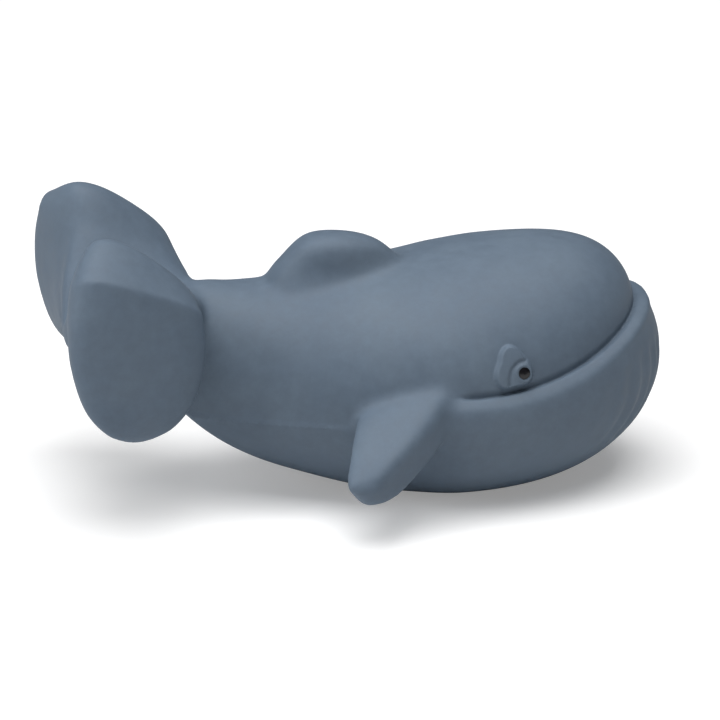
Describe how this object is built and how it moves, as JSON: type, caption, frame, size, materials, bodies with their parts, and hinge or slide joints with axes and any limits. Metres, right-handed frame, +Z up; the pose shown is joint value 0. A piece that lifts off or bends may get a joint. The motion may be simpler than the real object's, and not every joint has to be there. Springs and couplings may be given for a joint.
{
  "type": "squeaky bath toy",
  "caption": "Hollow soft-rubber whale bath toy with raised flukes, side flippers, a wide lower jaw and a reed squeaker set into its flat belly.",
  "frame": {"origin": "centre of the squeaker's hole on the flat rest face under the belly", "axes": "+X towards the nose, +Y to the whale's left, +Z up along the squeaker's axis"},
  "size_m": [0.1223, 0.0854, 0.0587],
  "materials": {
    "skin": "matte",
    "eye": "gloss",
    "squeaker": "matte",
    "reed": "satin"
  },
  "bodies": {
    "belly": {"belly_shell": "skin", "squeaker_cup": "squeaker", "squeaker_cap": "squeaker", "reed_seat": "squeaker", "reed_clamp": "squeaker"},
    "back": {"back_shell": "skin", "left_pupil": "eye", "right_pupil": "eye"},
    "reed": {"reed": "reed"}
  },
  "joints": [
    {"name": "squeeze", "type": "slide", "parent": "belly", "child": "back", "axis": [0, 0, -1], "range_m": [0, 0.006], "stiffness_N_per_m": 1000, "springref_m": -0.001, "deforming": ["back_shell", "belly_shell"]},
    {"name": "reed_flutter", "type": "hinge", "parent": "belly", "child": "reed", "pos_m": [0, -0.00018, 0.01252], "axis": [-1, 0, 0], "range_deg": [0, 3], "stiffness_Nm_per_rad": 0.0005}
  ]
}
